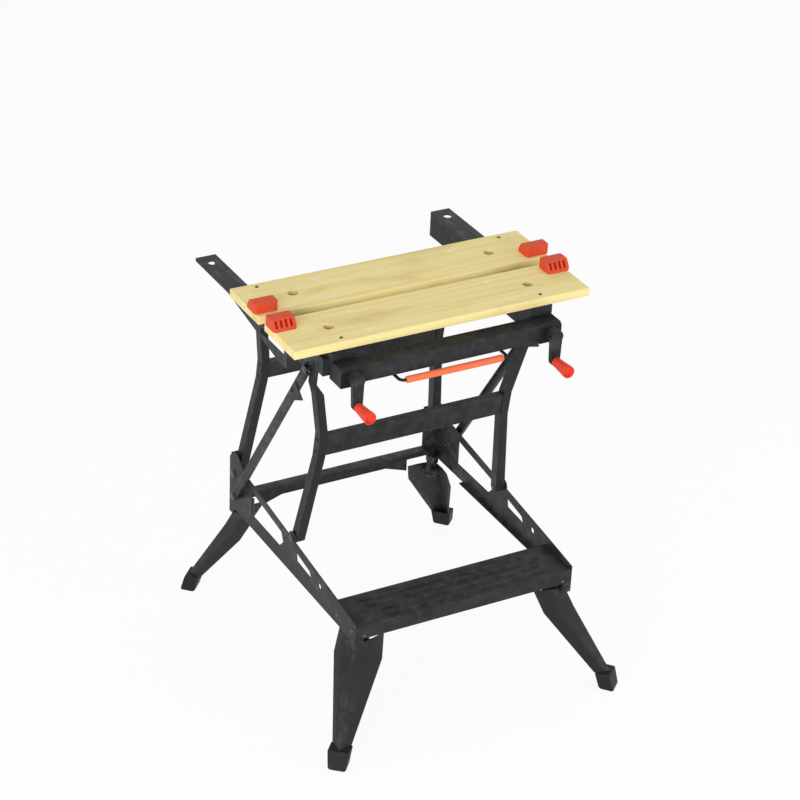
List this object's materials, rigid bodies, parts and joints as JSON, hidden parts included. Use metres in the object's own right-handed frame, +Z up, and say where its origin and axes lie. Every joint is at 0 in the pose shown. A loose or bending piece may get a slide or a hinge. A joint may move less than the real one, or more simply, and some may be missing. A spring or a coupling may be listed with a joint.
{
  "type": "folding workbench",
  "caption": "Folding workbench: wooden vise jaws driven by crank screws, steel H-frames on a base with a tread step, swivel pegs and fold-out legs with moulded feet",
  "frame": {"origin": "on the floor under the middle of the bench", "axes": "+X to the right along the jaws, +Y from the step to the rear, +Z up"},
  "size_m": [0.6362, 0.7028, 0.7955],
  "materials": {
    "steel_paint": "charcoal satin paint",
    "dark_plate": "dull dark plate",
    "moulded_black": "moulded, fine grain",
    "jaw_timber": "pale sanded timber, clear coat",
    "orange_plastic": "moulded, satin"
  },
  "bodies": {
    "base": {"step": "steel_paint", "rear_bar": "steel_paint", "base_side_left": "steel_paint", "base_side_right": "steel_paint", "front_lower_pin_left": "dark_plate", "front_lower_pin_right": "dark_plate", "rear_lower_pin_left": "dark_plate", "rear_lower_pin_right": "dark_plate", "strut_pin_left": "dark_plate", "strut_pin_right": "dark_plate", "leg_pin_front_left": "dark_plate", "leg_pin_front_right": "dark_plate", "leg_pin_rear_left": "dark_plate", "leg_pin_rear_right": "dark_plate"},
    "fold_leg_front_left": {"leg_front_left": "steel_paint", "foot_front_left": "moulded_black"},
    "fold_leg_front_right": {"leg_front_right": "steel_paint", "foot_front_right": "moulded_black"},
    "fold_leg_rear_left": {"leg_rear_left": "steel_paint", "foot_rear_left": "moulded_black"},
    "fold_leg_rear_right": {"leg_rear_right": "steel_paint", "foot_rear_right": "moulded_black"},
    "front_frame": {"front_frame_leg_left": "steel_paint", "front_frame_leg_right": "steel_paint", "front_crossbar": "steel_paint"},
    "rear_frame": {"rear_frame_leg_left": "steel_paint", "rear_frame_leg_right": "steel_paint", "rear_crossbar": "steel_paint"},
    "strut_left": {"strut_left": "steel_paint"},
    "strut_right": {"strut_right": "steel_paint"},
    "top_frame": {"front_beam": "steel_paint", "front_jaw": "jaw_timber", "side_rail_left": "steel_paint", "side_rail_right": "steel_paint", "vise_channel_left": "steel_paint", "vise_channel_right": "steel_paint", "vise_cap_left": "moulded_black", "vise_cap_right": "moulded_black", "front_jaw_carrier_left": "steel_paint", "front_jaw_carrier_right": "steel_paint", "front_upper_pin_left": "dark_plate", "front_upper_pin_right": "dark_plate", "rear_upper_pin_left": "dark_plate", "rear_upper_pin_right": "dark_plate"},
    "moving_jaw": {"rear_jaw": "jaw_timber", "jaw_nut_left": "moulded_black", "jaw_nut_right": "moulded_black"},
    "crank_left": {"vise_screw_left": "dark_plate", "crank_arm_left": "moulded_black"},
    "grip_left": {"crank_grip_left": "orange_plastic"},
    "crank_right": {"vise_screw_right": "dark_plate", "crank_arm_right": "moulded_black"},
    "grip_right": {"crank_grip_right": "orange_plastic"},
    "peg_front_left": {"peg_front_left": "orange_plastic"},
    "peg_front_right": {"peg_front_right": "orange_plastic"},
    "peg_rear_left": {"peg_rear_left": "orange_plastic"},
    "peg_rear_right": {"peg_rear_right": "orange_plastic"},
    "release": {"release_wire": "steel_paint", "release_sleeve": "orange_plastic"}
  },
  "joints": [
    {"name": "leg_fold_front_left", "type": "hinge", "parent": "base", "child": "fold_leg_front_left", "pos_m": [-0.205, -0.228, 0.196], "axis": [0.7475, -0.6643, 0], "range_deg": [0, 124]},
    {"name": "leg_fold_front_right", "type": "hinge", "parent": "base", "child": "fold_leg_front_right", "pos_m": [0.205, -0.228, 0.196], "axis": [0.7475, 0.6643, 0], "range_deg": [0, 124]},
    {"name": "leg_fold_rear_left", "type": "hinge", "parent": "base", "child": "fold_leg_rear_left", "pos_m": [-0.205, 0.243, 0.196], "axis": [-0.6867, -0.727, 0], "range_deg": [0, 124]},
    {"name": "leg_fold_rear_right", "type": "hinge", "parent": "base", "child": "fold_leg_rear_right", "pos_m": [0.205, 0.243, 0.196], "axis": [-0.6867, 0.727, 0], "range_deg": [0, 124]},
    {"name": "bench_fold", "type": "hinge", "parent": "base", "child": "front_frame", "pos_m": [0, 0.001, 0.292], "axis": [1, 0, 0], "range_deg": [0, 68]},
    {"name": "rear_frame_fold", "type": "hinge", "parent": "base", "child": "rear_frame", "pos_m": [0, 0.259, 0.292], "axis": [1, 0, 0], "range_deg": [0, 68]},
    {"name": "top_level", "type": "hinge", "parent": "front_frame", "child": "top_frame", "pos_m": [0, -0.064, 0.694], "axis": [1, 0, 0], "range_deg": [-68, 0]},
    {"name": "strut_fold_left", "type": "hinge", "parent": "base", "child": "strut_left", "pos_m": [-0.244, 0.228, 0.262], "axis": [1, 0, 0], "range_deg": [0, 42]},
    {"name": "strut_fold_right", "type": "hinge", "parent": "base", "child": "strut_right", "pos_m": [0.244, 0.228, 0.262], "axis": [1, 0, 0], "range_deg": [0, 42]},
    {"name": "crank_turn_left", "type": "hinge", "parent": "top_frame", "child": "crank_left", "pos_m": [-0.205, -0.165, 0.72], "axis": [0, 1, 0], "range_deg": [-6192, 1008]},
    {"name": "crank_turn_right", "type": "hinge", "parent": "top_frame", "child": "crank_right", "pos_m": [0.205, -0.165, 0.72], "axis": [0, 1, 0], "range_deg": [-6192, 1008]},
    {"name": "jaw_travel", "type": "slide", "parent": "top_frame", "child": "moving_jaw", "axis": [0, 1, 0], "range_m": [-0.014, 0.086]},
    {"name": "grip_spin_left", "type": "hinge", "parent": "crank_left", "child": "grip_left", "pos_m": [-0.205, -0.2, 0.67], "axis": [0, 1, 0], "continuous": true},
    {"name": "grip_spin_right", "type": "hinge", "parent": "crank_right", "child": "grip_right", "pos_m": [0.205, -0.2, 0.67], "axis": [0, 1, 0], "continuous": true},
    {"name": "peg_swivel_front_left", "type": "hinge", "parent": "top_frame", "child": "peg_front_left", "pos_m": [-0.285, -0.038, 0.775], "axis": [0, 0, 1], "continuous": true},
    {"name": "peg_swivel_front_right", "type": "hinge", "parent": "top_frame", "child": "peg_front_right", "pos_m": [0.285, -0.038, 0.775], "axis": [0, 0, 1], "continuous": true},
    {"name": "peg_swivel_rear_left", "type": "hinge", "parent": "moving_jaw", "child": "peg_rear_left", "pos_m": [-0.285, 0.038, 0.775], "axis": [0, 0, 1], "continuous": true},
    {"name": "peg_swivel_rear_right", "type": "hinge", "parent": "moving_jaw", "child": "peg_rear_right", "pos_m": [0.285, 0.038, 0.775], "axis": [0, 0, 1], "continuous": true},
    {"name": "release_pull", "type": "slide", "parent": "top_frame", "child": "release", "axis": [0, -1, 0], "range_m": [0, 0.025], "stiffness_N_per_m": 200, "springref_m": -0.01}
  ],
  "couplings": [
    {"joint": "rear_frame_fold", "follows": "bench_fold", "ratio": 1},
    {"joint": "top_level", "follows": "bench_fold", "ratio": -1},
    {"joint": "strut_fold_left", "follows": "bench_fold", "ratio": 0.604},
    {"joint": "strut_fold_right", "follows": "bench_fold", "ratio": 0.604},
    {"joint": "crank_turn_right", "follows": "crank_turn_left", "ratio": 1},
    {"joint": "jaw_travel", "follows": "crank_turn_left", "m_per_rad": -0.00079577}
  ]
}
